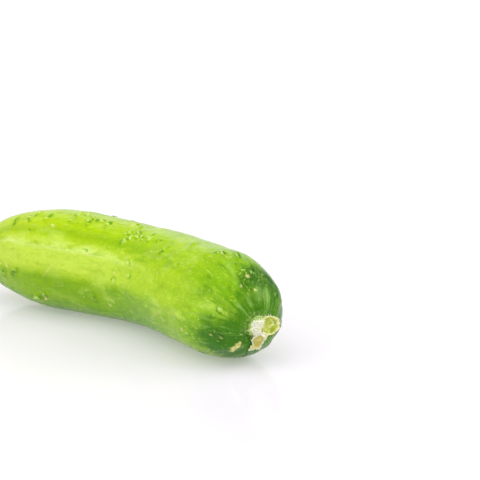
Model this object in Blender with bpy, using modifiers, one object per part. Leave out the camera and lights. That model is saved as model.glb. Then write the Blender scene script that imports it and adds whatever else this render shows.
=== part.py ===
"""A picked mini cucumber lying on its side, with the short stub of its stalk.

The fruit is one closed solid, a sphere drawn out along a bent axis. The stalk stub is a second
solid, set on the flat seat at the stem end. Metres, +Z up. The object stands on z = 0, centred
on the origin, with its stem end towards +X and its hollow side towards -Y.
"""

from math import acos, atan2, ceil, cos, exp, pi, radians, sin, tanh

import bmesh
import bpy
from mathutils import Matrix, Vector

# The fruit's axis: its length, and one bend towards -Y.
FRUIT_LENGTH = 0.1360  # along the bent axis, from the blossom scar to the stem seat
BEND_ANGLE = radians(25)
BEND_FROM_STEM = 0.0608  # from the stem seat to the middle of the bend
BEND_SPREAD = 0.0130  # how gently the axis turns
STEM_DROOP = 0.0028  # how far the stem seat hangs below the middle of the fruit

# The fruit's outline.
BELLY_DIAMETER = 0.0359  # its widest, in the blossom half
SHOULDER_DIAMETER = 0.0346  # where the stem end starts to round off
WAIST_DEPTH = 0.0004  # how much its radius shrinks at the bend
WAIST_FROM_STEM = 0.0650
WAIST_SPREAD = 0.0194
BLOSSOM_DOME = 0.0382  # length of the rounded blossom end
BLOSSOM_POWER = 1.82  # 2 is an ellipse, less is more pointed
STEM_DOME = 0.0212  # length of the rounded stem end
STEM_POWER = 1.65
BLOSSOM_SCAR_DIAMETER = 0.0046
LOBES = 3  # one for each carpel
LOBE_RISE = 0.012  # how far a lobe stands out, as a share of the radius there
PRESS_DEPTH = 0.00025  # how far the skin is flattened where it lies on the table

# The stalk stub: a flared turning that leans up and ends in a slanting break.
STUB_DIAMETER = 0.0064
STUB_FOOT_DIAMETER = 0.0096
STUB_LENGTH = 0.0060
STUB_FLARE = 0.0026  # length over which the foot narrows to the stub
STUB_LEAN = 0.32  # rise for each unit of length
BREAK_TILT = radians(14)  # the break faces a little towards -Y
SEAT_MARGIN = 0.0004  # from the edge of the stub's foot to the edge of its seat
SEAT_GAP = 0.0003

# The strip of skin torn from the stalk, which hangs from the stub's foot.
STRIP_LENGTH = 0.0028  # beyond the foot, down over the fruit
STRIP_WIDTH = 0.0048
STRIP_TIP_NARROWING = 0.35  # the share of its width that it loses by its tip
STRIP_THICKNESS = 0.0006
STRIP_ANGLE = radians(-96)  # round the axis, where -90 degrees is straight down
STRIP_BITE = 0.0012  # how far its root runs into the stub, inside the neck
STRIP_CLEARANCE = 0.0006  # above the skin

# How finely each surface is divided.
SEGMENTS = 40
BODY_STEP = 0.0032  # between the rings of the body
BLOSSOM_RINGS = 11
STEM_RINGS = 9
AXIS_STEPS = 400
STUB_SEGMENTS = 24
FLARE_STEPS = 5
STRIP_COLUMNS, STRIP_ROWS = 4, 8
CUTTER_SIZE = 0.02

BELLY_RADIUS = BELLY_DIAMETER / 2
SHOULDER_RADIUS = SHOULDER_DIAMETER / 2
SCAR_RADIUS = BLOSSOM_SCAR_DIAMETER / 2
FOOT_RADIUS = STUB_FOOT_DIAMETER / 2
SEAT_RADIUS = FOOT_RADIUS + SEAT_MARGIN
STRIP_ROOT = STUB_DIAMETER / 2 - STRIP_BITE
STRIP_TIP = FOOT_RADIUS + STRIP_LENGTH
BODY_END = FRUIT_LENGTH - STEM_DOME


def heading(along):
    """How far the axis has turned at a distance along it, before the whole axis is turned."""
    bend_middle = FRUIT_LENGTH - BEND_FROM_STEM
    return -BEND_ANGLE / 2 * (1 + tanh((along - bend_middle) / BEND_SPREAD))


def axis_line():
    """Points along the axis, turned so that its two ends lie on one line along X, and that turn."""
    step = FRUIT_LENGTH / AXIS_STEPS
    points = [Vector((0, 0, 0))]
    for i in range(AXIS_STEPS):
        turn = heading((i + 0.5) * step)
        points.append(points[-1] + step * Vector((cos(turn), sin(turn), 0)))
    chord_turn = -atan2(points[-1].y, points[-1].x)
    turned = Matrix.Rotation(chord_turn, 3, "Z")
    return [turned @ p for p in points], chord_turn


AXIS_POINTS, CHORD_TURN = axis_line()


def axis_direction(along):
    turn = heading(along) + CHORD_TURN
    return Vector((cos(turn), sin(turn), 0))


def body_radius(along):
    """The radius without the rounding of the two ends: belly, waist and shoulder."""
    share = min(max((along - BLOSSOM_DOME) / (BODY_END - BLOSSOM_DOME), 0), 1)
    ease = share * share * (3 - 2 * share)
    from_waist = (FRUIT_LENGTH - WAIST_FROM_STEM - along) / WAIST_SPREAD
    waist = WAIST_DEPTH * exp(-(from_waist**2))
    return BELLY_RADIUS + ease * (SHOULDER_RADIUS - BELLY_RADIUS) - waist


def lobed(radius, around):
    """The radius with its lobes: one lobe on top, and the side between two lobes underneath."""
    return radius * (1 + LOBE_RISE * cos(LOBES * (around - pi / 2)))


def axis_height(along):
    """The axis lies level at the height of the underside's radius, and sinks in the stem's dome."""
    into_dome = max(along - BODY_END, 0) / STEM_DOME
    return lobed(body_radius(along), -pi / 2) - STEM_DROOP * into_dome**2


def axis_point(along):
    place = along / FRUIT_LENGTH * AXIS_STEPS
    i = min(int(place), AXIS_STEPS - 1)
    point = AXIS_POINTS[i].lerp(AXIS_POINTS[i + 1], place - i)
    point.z = axis_height(along)
    return point


def dome(rings, length, power, end_radius, full_radius):
    """(distance from the dome's end, radius) of the rings of a rounded end, from its end inwards."""
    places = []
    for i in range(rings):
        angle = pi / 2 * i / rings
        inward = length * (1 - cos(angle) ** (2 / power))
        radius = end_radius + (full_radius - end_radius) * sin(angle) ** (2 / power)
        places.append((inward, radius))
    return places


def stem_dome_depth(radius):
    """How far inward from the seat the stem's dome has a given radius."""
    share = max(radius - SEAT_RADIUS, 0) / (SHOULDER_RADIUS - SEAT_RADIUS)
    return STEM_DOME * (1 - (1 - share**STEM_POWER) ** (1 / STEM_POWER))


def ring_places():
    """(distance along the axis, radius) from the blossom scar's middle to the seat's middle."""
    blossom = dome(BLOSSOM_RINGS, BLOSSOM_DOME, BLOSSOM_POWER, SCAR_RADIUS, body_radius(BLOSSOM_DOME))
    stem = dome(STEM_RINGS, STEM_DOME, STEM_POWER, SEAT_RADIUS, body_radius(BODY_END))
    spans = ceil((BODY_END - BLOSSOM_DOME) / BODY_STEP)
    body = []
    for i in range(spans + 1):
        along = BLOSSOM_DOME + (BODY_END - BLOSSOM_DOME) * i / spans
        body.append((along, body_radius(along)))
    stem_end = [(FRUIT_LENGTH - inward, radius) for inward, radius in reversed(stem)]
    return [(0, 0), *blossom, *body, *stem_end, (FRUIT_LENGTH, 0)]


def fruit_point(along, radius, around):
    """A point of the skin. around is the angle about the axis: 0 on the +Y side, then up."""
    side = Vector((0, 0, 1)).cross(axis_direction(along))
    reach = lobed(radius, around)
    point = axis_point(along) + side * (reach * cos(around))
    point.z = max(point.z + reach * sin(around), PRESS_DEPTH)
    return point


def material(name, colour, roughness):
    made = bpy.data.materials.new(name)
    made.use_nodes = True
    shader = made.node_tree.nodes["Principled BSDF"]
    shader.inputs["Base Color"].default_value = (*colour, 1)
    shader.inputs["Roughness"].default_value = roughness
    shader.inputs["Metallic"].default_value = 0
    return made


def mesh_from(bm, name):
    mesh = bpy.data.meshes.new(name)
    bm.to_mesh(mesh)
    bm.free()
    mesh.shade_smooth()
    mesh.set_sharp_from_angle(angle=radians(50))
    return mesh


def add_object(name, mesh, collection, parent, mat=None):
    made = bpy.data.objects.new(name, mesh)
    collection.objects.link(made)
    made.parent = parent
    if mat:
        mesh.materials.append(mat)
    return made


def build_fruit(collection, parent):
    """A sphere whose rings are moved one by one to their places on the bent axis."""
    places = ring_places()
    rings = len(places) - 1
    bm = bmesh.new()
    bmesh.ops.create_uvsphere(bm, u_segments=SEGMENTS, v_segments=rings, radius=1)
    for vertex in bm.verts:
        ring = round(acos(max(-1, min(1, -vertex.co.z))) / pi * rings)
        along, radius = places[ring]
        around = atan2(vertex.co.y, vertex.co.x) if radius else 0
        vertex.co = fruit_point(along, radius, around)
    skin = material("skin", (0.28, 0.55, 0.05), 0.35)
    return add_object("fruit", mesh_from(bm, "fruit"), collection, parent, skin)


def add_seat(collection, parent):
    """An empty on the seat, with Z running on along the fruit's axis and Y pointing up."""
    seat = bpy.data.objects.new("stem_seat", None)
    collection.objects.link(seat)
    seat.parent = parent
    along = axis_direction(FRUIT_LENGTH)
    up = Vector((0, 0, 1))
    turned = Matrix((up.cross(along), up, along)).transposed()
    seat.matrix_local = Matrix.Translation(axis_point(FRUIT_LENGTH)) @ turned.to_4x4()
    return seat


def build_stub(collection, seat):
    """The stub's outline turned about its axis from its top to its foot, then leaned upwards."""
    neck = STUB_DIAMETER / 2
    tall = STUB_LENGTH + STUB_DIAMETER * sin(BREAK_TILT)
    outline = [(0, tall), (neck, tall)]
    for i in range(FLARE_STEPS + 1):
        angle = pi / 2 * i / FLARE_STEPS
        outline.append((neck + (FOOT_RADIUS - neck) * (1 - cos(angle)), STUB_FLARE * (1 - sin(angle))))
    outline.append((0, 0))
    bm = bmesh.new()
    points = [bm.verts.new((x, 0, z)) for x, z in outline]
    edges = [bm.edges.new(pair) for pair in zip(points, points[1:])]
    bmesh.ops.spin(bm, geom=points + edges, axis=(0, 0, 1), angle=2 * pi, steps=STUB_SEGMENTS, use_merge=True)
    bmesh.ops.remove_doubles(bm, verts=bm.verts, dist=0.00001)
    bmesh.ops.recalc_face_normals(bm, faces=bm.faces)
    for vertex in bm.verts:
        vertex.co.y += STUB_LEAN * vertex.co.z
    stalk = material("stalk", (0.62, 0.66, 0.30), 0.6)
    stub = add_object("stem_stub", mesh_from(bm, "stem_stub"), collection, seat, stalk)
    stub.location.z = SEAT_GAP
    return stub


def build_break_cutter(collection, seat):
    """A block whose lower face is the slanting plane where the stalk broke off."""
    bm = bmesh.new()
    bmesh.ops.create_cube(bm, size=CUTTER_SIZE)
    bmesh.ops.translate(bm, verts=bm.verts, vec=(0, 0, CUTTER_SIZE / 2))
    cutter = add_object("break_cutter", mesh_from(bm, "break_cutter"), collection, seat)
    cutter.location = (0, STUB_LEAN * STUB_LENGTH, SEAT_GAP + STUB_LENGTH)
    cutter.rotation_euler.y = -BREAK_TILT
    return cutter


def strip_point(reach, across):
    """A point of the torn strip in the seat's space: reach from the axis, and across the strip."""
    angle = STRIP_ANGLE + across / FOOT_RADIUS
    inward = stem_dome_depth(reach)
    sunk = STEM_DROOP * (1 - (1 - inward / STEM_DOME) ** 2)
    return Vector((reach * cos(angle), reach * sin(angle) + sunk, STRIP_CLEARANCE - inward))


def build_strip(collection, seat):
    """A tongue of torn stalk skin that follows the dome, as a closed plate."""
    bm = bmesh.new()
    bmesh.ops.create_grid(bm, x_segments=STRIP_ROWS, y_segments=STRIP_COLUMNS, size=0.5)
    for vertex in bm.verts:
        share = vertex.co.x + 0.5
        narrowed = STRIP_WIDTH * (1 - STRIP_TIP_NARROWING * share**2)
        vertex.co = strip_point(STRIP_ROOT + share * (STRIP_TIP - STRIP_ROOT), vertex.co.y * narrowed)
    bmesh.ops.recalc_face_normals(bm, faces=bm.faces)
    strip = add_object("torn_strip", mesh_from(bm, "torn_strip"), collection, seat)
    plate = strip.modifiers.new("plate", "SOLIDIFY")
    plate.thickness = STRIP_THICKNESS
    plate.offset = 1
    return strip


def boolean(target, helper, operation):
    joined = target.modifiers.new(helper.name, "BOOLEAN")
    joined.operation = operation
    joined.object = helper
    helper.hide_render = True
    helper.display_type = "WIRE"


def stand_on_origin(root, parts):
    """Moves the whole object so that the middle of its underside is at the origin."""
    bpy.context.view_layer.update()
    graph = bpy.context.evaluated_depsgraph_get()
    points = []
    for part in parts:
        evaluated = part.evaluated_get(graph)
        mesh = evaluated.to_mesh()
        points += [evaluated.matrix_world @ v.co for v in mesh.vertices]
        evaluated.to_mesh_clear()
    low = Vector(min(p[k] for p in points) for k in range(3))
    high = Vector(max(p[k] for p in points) for k in range(3))
    root.location = -Vector(((low.x + high.x) / 2, (low.y + high.y) / 2, low.z))
    bpy.context.view_layer.update()


def new_collection(name):
    made = bpy.data.collections.new(name)
    bpy.context.scene.collection.children.link(made)
    return made


def main():
    for obj in list(bpy.data.objects):
        bpy.data.objects.remove(obj)
    parts = new_collection("cucumber")
    cutters = new_collection("cutters")
    root = bpy.data.objects.new("cucumber", None)
    parts.objects.link(root)
    fruit = build_fruit(parts, root)
    seat = add_seat(parts, root)
    stub = build_stub(parts, seat)
    boolean(stub, build_break_cutter(cutters, seat), "DIFFERENCE")
    boolean(stub, build_strip(cutters, seat), "UNION")
    stand_on_origin(root, [fruit, stub])


main()
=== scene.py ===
from math import cos, pi, radians, sin

import bmesh
import bpy
import numpy as np
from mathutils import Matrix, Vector, noise


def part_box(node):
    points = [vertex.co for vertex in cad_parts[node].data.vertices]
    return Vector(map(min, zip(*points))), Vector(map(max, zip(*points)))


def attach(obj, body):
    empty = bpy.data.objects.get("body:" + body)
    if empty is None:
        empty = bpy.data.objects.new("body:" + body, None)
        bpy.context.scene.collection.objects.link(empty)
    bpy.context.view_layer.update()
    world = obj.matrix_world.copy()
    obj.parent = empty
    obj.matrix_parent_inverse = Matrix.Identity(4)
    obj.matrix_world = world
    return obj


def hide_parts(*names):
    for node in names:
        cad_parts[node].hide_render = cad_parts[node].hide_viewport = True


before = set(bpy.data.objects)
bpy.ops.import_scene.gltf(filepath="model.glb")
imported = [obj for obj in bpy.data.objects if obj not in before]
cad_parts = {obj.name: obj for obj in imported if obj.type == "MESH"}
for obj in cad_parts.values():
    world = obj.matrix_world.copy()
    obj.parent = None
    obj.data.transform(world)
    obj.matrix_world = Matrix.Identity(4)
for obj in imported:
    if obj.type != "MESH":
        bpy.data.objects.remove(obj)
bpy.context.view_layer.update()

# --------------------------------------- the fruit
# Crisp, watery flesh under a thin waxy skin, grown in one piece along a gently bent axis. Three
# lobes and nine low ribs run its whole length. It lies on its side, bent towards -Y, and the
# strip of skin that it rests on is pressed flat.

FRUIT_LENGTH = 0.1360  # along the axis, from the blossom scar to the stem seat
BEND_ANGLE = radians(25)
BEND_FROM_STEM = 0.0608  # from the stem seat to the middle of the bend
BEND_SPREAD = 0.0130  # how gently the axis turns
STEM_DROOP = 0.0028  # how far the stem seat hangs below the middle of the fruit
BELLY_RADIUS = 0.01795  # its widest, in the blossom half
SHOULDER_RADIUS = 0.0173  # where the stem end starts to round off
WAIST_DEPTH = 0.0004  # how much the radius shrinks at the bend
WAIST_FROM_STEM = 0.0650
WAIST_SPREAD = 0.0194
BLOSSOM_DOME = 0.0382  # length of the rounded blossom end
BLOSSOM_POWER = 1.82  # 2 is an ellipse, less is more pointed
STEM_DOME = 0.0212
STEM_POWER = 1.65
SCAR_RADIUS = 0.0023  # of the blossom scar
SEAT_RADIUS = 0.0052  # of the flat that the stem grows from
LOBES = 3  # one for each carpel
LOBE_RISE = 0.012  # as a share of the radius
RIBS = 9
RIB_ANGLE = radians(103)  # where the first rib's crest lies
RIB_RISE = 0.00034
LUMP_RISE = 0.0009
FURROWS = 13  # fine grooves that run together at the stem
FURROW_RISE = 0.00010
PRESS_DEPTH = 0.00025  # how far the skin is flattened where it lies on the table
AXIS_STEPS = 400
SEGMENTS = 256
RINGS = 376
WELD_DISTANCE = 0.000002

# How much of the profile's length, from scar to seat, belongs to each stretch of it.
STRETCHES = {"scar": 0.015, "blossom dome": 0.284, "body": 0.499, "stem dome": 0.168, "seat": 0.034}


class Field:
    """A value in a node tree, so that sums of nodes are written as sums."""

    def __init__(self, tree, socket):
        self.tree = tree
        self.socket = socket

    def math(self, operation, *others, clamp=False):
        made = self.tree.nodes.new("ShaderNodeMath")
        made.operation = operation
        made.use_clamp = clamp
        for slot, value in zip(made.inputs, (self, *others)):
            feed(self.tree, slot, value)
        return Field(self.tree, made.outputs[0])

    def vector(self, operation, *others, output="Vector"):
        made = self.tree.nodes.new("ShaderNodeVectorMath")
        made.operation = operation
        slots = [s for s in made.inputs if s.enabled]
        for slot, value in zip(slots, (self, *others)):
            feed(self.tree, slot, value)
        return Field(self.tree, made.outputs[output])

    def dot(self, direction):
        return self.vector("DOT_PRODUCT", tuple(direction), output="Value")

    def part(self, axis):
        return add(self.tree, "ShaderNodeSeparateXYZ", {0: self}, output=axis)

    def __add__(self, other):
        return self.math("ADD", other)

    def __sub__(self, other):
        return self.math("SUBTRACT", other)

    def __rsub__(self, other):
        return self.math("MULTIPLY_ADD", -1, other)

    def __mul__(self, other):
        return self.math("MULTIPLY", other)

    def __truediv__(self, other):
        return self.math("DIVIDE", other)

    def __pow__(self, other):
        return self.math("POWER", other)

    __radd__ = __add__
    __rmul__ = __mul__

    def between(self, low, high, smooth=True):
        """0 below low, 1 above high, with a smooth rise between them."""
        kind = "SMOOTHSTEP" if smooth else "LINEAR"
        feeds = {"Value": self, "From Min": low, "From Max": high, "To Min": 0.0, "To Max": 1.0}
        return add(self.tree, "ShaderNodeMapRange", feeds, interpolation_type=kind)


def feed(tree, slot, value):
    """Links a value to a node's input, or sets the input's own value."""
    if isinstance(value, Field):
        tree.links.new(value.socket, slot)
    else:
        slot.default_value = value


def add(tree, kind, feeds=None, output=0, **settings):
    """Adds a node with its settings and inputs, and returns one of its outputs."""
    made = tree.nodes.new(kind)
    for name, value in settings.items():
        setattr(made, name, value)
    for name, value in (feeds or {}).items():
        if isinstance(name, int):
            slot = made.inputs[name]
        else:
            slot = next(s for s in made.inputs if s.name == name and s.enabled)
        feed(tree, slot, value)
    if isinstance(output, str):
        return Field(tree, next(s for s in made.outputs if s.name == output and s.enabled))
    enabled = [s for s in made.outputs if s.enabled]
    return Field(tree, enabled[output])


def vector_of(tree, *parts):
    return add(tree, "ShaderNodeCombineXYZ", dict(enumerate(parts)))


def geometry_tree(name, inputs, takes_geometry=False):
    """A node tree with named inputs, and a Field for each of them."""
    tree = bpy.data.node_groups.new(name, "GeometryNodeTree")
    tree.interface.new_socket("Geometry", in_out="OUTPUT", socket_type="NodeSocketGeometry")
    if takes_geometry:
        tree.interface.new_socket("Geometry", in_out="INPUT", socket_type="NodeSocketGeometry")
    kinds = {float: "NodeSocketFloat", bpy.types.Material: "NodeSocketMaterial"}
    for title, value in inputs.items():
        kind = kinds.get(type(value), "NodeSocketVector")
        tree.interface.new_socket(title, in_out="INPUT", socket_type=kind)
    entry = tree.nodes.new("NodeGroupInput")
    return tree, {s.name: Field(tree, s) for s in entry.outputs if s.name}


def moved(tree, geometry, **where):
    """Geometry with its points moved to a Position, or by an Offset."""
    return add(tree, "GeometryNodeSetPosition", {"Geometry": geometry, **where})


def finish_tree(tree, geometry, material):
    """The tree's last nodes: no instances, one material, the output."""
    real = add(tree, "GeometryNodeRealizeInstances", {"Geometry": geometry})
    dressed = add(tree, "GeometryNodeSetMaterial", {"Geometry": real, "Material": material})
    tree.links.new(dressed.socket, tree.nodes.new("NodeGroupOutput").inputs[0])


def new_object(name, data):
    made = bpy.data.objects.new(name, data)
    bpy.context.scene.collection.objects.link(made)
    return made


def settle(piece, modifier):
    """Keeps what a modifier makes as the piece's own mesh, and removes the modifier."""
    graph = bpy.context.evaluated_depsgraph_get()
    made = bpy.data.meshes.new_from_object(
        piece.evaluated_get(graph), preserve_all_data_layers=True, depsgraph=graph
    )
    piece.modifiers.remove(modifier)
    piece.data = made


def grow(name, tree, inputs, start=None):
    """Runs a node tree as a modifier, and returns what it makes as a plain mesh object."""
    piece = new_object(name, start or bpy.data.meshes.new(name))
    growth = piece.modifiers.new("growth", "NODES")
    growth.node_group = tree
    for item in tree.interface.items_tree:
        if item.in_out == "INPUT" and item.name in inputs:
            growth[item.identifier] = inputs[item.name]
    settle(piece, growth)
    return piece


def srgb(red, green, blue):
    """A colour from its screen values, 0 to 255, as a shader takes it."""
    shares = [value / 255 for value in (red, green, blue)]
    return tuple(s / 12.92 if s <= 0.04045 else ((s + 0.055) / 1.055) ** 2.4 for s in shares)


def axis_curve(tree, size):
    """The fruit's axis as a curve: small steps along its heading, added up, with both ends on X."""
    steps = float(AXIS_STEPS)
    line = add(tree, "GeometryNodeMeshLine", {"Count": AXIS_STEPS + 1, "Offset": (0, 0, 0)})
    index = add(tree, "GeometryNodeInputIndex")
    along = (index + 0.5) / steps * size["Length"]
    bend_middle = size["Length"] - size["Bend from stem"]
    turn = ((along - bend_middle) / size["Bend spread"]).math("TANH") * -0.5 - 0.5
    turn = turn * size["Bend"]
    step = size["Length"] / steps
    step_x, step_y = turn.math("COSINE") * step, turn.math("SINE") * step
    move = vector_of(tree, step_x, step_y)
    place = add(
        tree, "GeometryNodeAccumulateField", {"Value": move}, output="Trailing", data_type="FLOAT_VECTOR"
    )
    placed = moved(tree, line, Position=place)
    position = add(tree, "GeometryNodeInputPosition")
    end = add(
        tree, "GeometryNodeSampleIndex", {"Geometry": placed, "Value": position, "Index": AXIS_STEPS},
        data_type="FLOAT_VECTOR",
    )
    chord = end.part(1).math("ARCTAN2", end.part(0))
    back_by_chord = {"Vector": position, "Angle": chord * -1}
    turned = add(tree, "ShaderNodeVectorRotate", back_by_chord, rotation_type="Z_AXIS")
    level = moved(tree, placed, Position=turned)
    return add(tree, "GeometryNodeMeshToCurve", {"Mesh": level})


def profile(v, size):
    """Distance along the axis and radius, from the profile's share v between scar and seat."""
    shares = {}
    start = 0.0
    for stretch, share in STRETCHES.items():
        shares[stretch] = v.between(start, start + share, smooth=False)
        start += share
    blossom = shares["blossom dome"] * (pi / 2)
    stem = (1 - shares["stem dome"]) * (pi / 2)
    body = size["Length"] - size["Blossom dome"] - size["Stem dome"]
    along = size["Blossom dome"] * (1 - blossom.math("COSINE") ** (2 / BLOSSOM_POWER))
    along = along + body * shares["body"] + size["Stem dome"] * stem.math("COSINE") ** (2 / STEM_POWER)
    ease = ((along - size["Blossom dome"]) / body).between(0.0, 1.0)
    waist = (along - size["Length"] + WAIST_FROM_STEM) / WAIST_SPREAD
    radius = size["Belly radius"] + ease * (size["Shoulder radius"] - size["Belly radius"])
    radius = radius - (waist * waist * -1).math("EXPONENT") * WAIST_DEPTH
    scar = SCAR_RADIUS / BELLY_RADIUS
    seat = SEAT_RADIUS / SHOULDER_RADIUS
    blossom_end = shares["scar"] * scar + blossom.math("SINE") ** (2 / BLOSSOM_POWER) * (1 - scar)
    stem_end = (1 - shares["seat"]) * seat + stem.math("SINE") ** (2 / STEM_POWER) * (1 - seat)
    return along, radius, radius * blossom_end * stem_end


def centred_noise(tree, position, scale, detail=2.0, distortion=0.0):
    """Noise about zero."""
    feeds = {"Vector": position, "Scale": scale, "Detail": detail, "Distortion": distortion}
    return add(tree, "ShaderNodeTexNoise", feeds) - 0.5


def skin_tree(inputs):
    """The skin: a grid rolled round the axis, then lifted along its normals by ribs and lumps."""
    tree, size = geometry_tree("cucumber_skin", inputs)
    feeds = {"Size X": 1.0, "Size Y": 1.0, "Vertices X": SEGMENTS + 1, "Vertices Y": RINGS + 1}
    grid = add(tree, "GeometryNodeMeshGrid", feeds)
    position = add(tree, "GeometryNodeInputPosition")
    u = position.part(0) + 0.5
    v = position.part(1) + 0.5
    around = u * (2 * pi) - pi / 2
    along, full_radius, radius = profile(v, size)

    ring = vector_of(tree, around.math("COSINE"), around.math("SINE"))
    uv = vector_of(tree, u, v)
    kept = grid
    for title, value, kind, domain in (
        ("along", along, "FLOAT", "POINT"),
        ("v", v, "FLOAT", "POINT"),
        ("ring", ring, "FLOAT_VECTOR", "POINT"),
        ("UVMap", uv, "FLOAT2", "CORNER"),
    ):
        feeds = {"Geometry": kept, "Name": title, "Value": value}
        kept = add(tree, "GeometryNodeStoreNamedAttribute", feeds, data_type=kind, domain=domain)

    lobe = ((around - pi / 2) * LOBES).math("COSINE") * LOBE_RISE + 1
    reach = radius * lobe
    curve = axis_curve(tree, size)
    sampled = {"Curves": curve, "Length": along}
    on_axis = add(tree, "GeometryNodeSampleCurve", sampled, output="Position", mode="LENGTH")
    direction = add(tree, "GeometryNodeSampleCurve", sampled, output="Tangent", mode="LENGTH")
    side_reach = around.math("COSINE") * reach
    into_dome = ((along - size["Length"]) / size["Stem dome"] + 1).math("MAXIMUM", 0)
    height = full_radius * (1 - LOBE_RISE) - into_dome * into_dome * STEM_DROOP
    height = (height + around.math("SINE") * reach).math("MAXIMUM", PRESS_DEPTH)
    x = on_axis.part(0) - direction.part(1) * side_reach
    y = on_axis.part(1) + direction.part(0) * side_reach
    smooth_place = vector_of(tree, x, y, height)
    rolled = moved(tree, kept, Position=smooth_place)
    closed = add(tree, "GeometryNodeMergeByDistance", {"Geometry": rolled, "Distance": WELD_DISTANCE})
    low = add(tree, "GeometryNodeBoundBox", {"Geometry": closed}, output="Min")
    placed = moved(tree, closed, Offset=size["Low corner"].vector("SUBTRACT", low))

    ring_kept = add(tree, "GeometryNodeInputNamedAttribute", {"Name": "ring"}, data_type="FLOAT_VECTOR")
    around_kept = ring_kept.part(1).math("ARCTAN2", ring_kept.part(0))
    along_kept = add(tree, "GeometryNodeInputNamedAttribute", {"Name": "along"})
    ends = along_kept.between(0.0, 0.012) * (1 - along_kept.between(FRUIT_LENGTH - 0.006, FRUIT_LENGTH))
    wander = centred_noise(tree, position, 30.0) * 0.7
    # A rib's two sides are nearly flat, and its crest is a soft edge.
    across = (around_kept - RIB_ANGLE) * (RIBS / 2) + wander * 0.5
    across = across.math("SINE")
    crest = (across * across + 0.03).math("SQRT") * -1 + 0.6
    strength = centred_noise(tree, position, 45.0) * 1.6 + 1
    rib = crest * strength * size["Rib rise"] * ends
    furrow_place = along_kept.between(FRUIT_LENGTH - 0.016, FRUIT_LENGTH - 0.003)
    furrow_wave = (around_kept * FURROWS + centred_noise(tree, position, 90.0) * 6).math("COSINE")
    furrow = furrow_wave * furrow_place * FURROW_RISE
    lumps = centred_noise(tree, position, 55.0) * size["Lump rise"]
    lumps = lumps + centred_noise(tree, position, 190.0) * size["Lump rise"] * 0.5
    lumps = lumps + centred_noise(tree, position, 560.0, detail=3.0) * size["Lump rise"] * 0.3
    lift = rib + furrow + lumps * ends
    normal = add(tree, "GeometryNodeInputNormal")
    offset = normal.vector("MULTIPLY", lift)
    lifted = moved(tree, placed, Offset=offset)
    above_table = position.part(2).math("MAXIMUM", 0.0)
    above = vector_of(tree, position.part(0), position.part(1), above_table)
    resting = moved(tree, lifted, Position=above)
    smooth = add(tree, "GeometryNodeSetShadeSmooth", {"Geometry": resting})
    finish_tree(tree, smooth, size["Skin"])
    return tree


skin = bpy.data.materials.new("cucumber_skin")
skin_inputs = {
    "Length": FRUIT_LENGTH,
    "Bend": BEND_ANGLE,
    "Bend from stem": BEND_FROM_STEM,
    "Bend spread": BEND_SPREAD,
    "Belly radius": BELLY_RADIUS,
    "Shoulder radius": SHOULDER_RADIUS,
    "Blossom dome": BLOSSOM_DOME,
    "Stem dome": STEM_DOME,
    "Rib rise": RIB_RISE,
    "Lump rise": LUMP_RISE,
    "Low corner": tuple(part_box("fruit")[0]),
    "Skin": skin,
}
fruit = grow("cucumber_fruit", skin_tree(skin_inputs), skin_inputs)


def array_of(items, title="vector"):
    """One value, or one vector, for each point of a mesh."""
    vectors = title != "value"
    values = np.empty(len(items) * (3 if vectors else 1))
    items.foreach_get(title, values)
    return values.reshape(-1, 3) if vectors else values


def keep(mesh, name, values):
    """Stores an array as a point attribute for the material."""
    layer = mesh.attributes.new(name, "FLOAT", "POINT")
    layer.data.foreach_set("value", values.astype(np.float32))


def eased(values):
    values = np.clip(values, 0, 1)
    return values * values * (3 - 2 * values)


def crinkle(points, size, seed):
    """Noise about zero at each point, with features of about the given size."""
    return np.array([noise.noise(Vector(p)) for p in points / size + seed])


SKIN_POINTS = array_of(fruit.data.vertices, "co")
SKIN_NORMALS = array_of(fruit.data.vertex_normals)
SKIN_ALONG = array_of(fruit.data.attributes["along"].data, "value")
SKIN_RING = array_of(fruit.data.attributes["ring"].data)
SKIN_V = array_of(fruit.data.attributes["v"].data, "value")


def spot(along, around):
    """The place on the skin at a distance (mm) along the axis and an angle (degrees) around it."""
    turn = radians(around)
    off_ring = (SKIN_RING[:, 0] - cos(turn)) ** 2 + (SKIN_RING[:, 1] - sin(turn)) ** 2
    far = (SKIN_ALONG - along / 1000) ** 2 + off_ring * BELLY_RADIUS**2
    i = int(far.argmin())
    nearby = np.argsort(((SKIN_POINTS - SKIN_POINTS[i]) ** 2).sum(1))[:60]
    normal = SKIN_NORMALS[nearby].sum(0)
    normal /= np.linalg.norm(normal)
    slope = np.linalg.lstsq(SKIN_POINTS[nearby] - SKIN_POINTS[i], SKIN_ALONG[nearby], rcond=None)[0]
    ahead = slope - normal * (slope @ normal)
    ahead /= np.linalg.norm(ahead)
    return SKIN_POINTS[i], normal, ahead, np.cross(normal, ahead)


def on_spot(along, around, length, width, turn=0.0):
    """Distance from a mark's middle in half lengths and half widths, near it and nowhere else."""
    middle, normal, ahead, across = spot(along, around)
    gap = (SKIN_POINTS - middle) * 1000
    near = (np.abs(gap) < length + width).all(1) & (SKIN_NORMALS @ normal > 0)
    one, two = gap @ ahead, gap @ across
    angle = radians(turn)
    lengthwise = (one * cos(angle) + two * sin(angle)) / (length / 2)
    sideways = (two * cos(angle) - one * sin(angle)) / (width / 2)
    return np.where(near, np.hypot(lengthwise, sideways), 9.0), lengthwise, sideways


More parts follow.
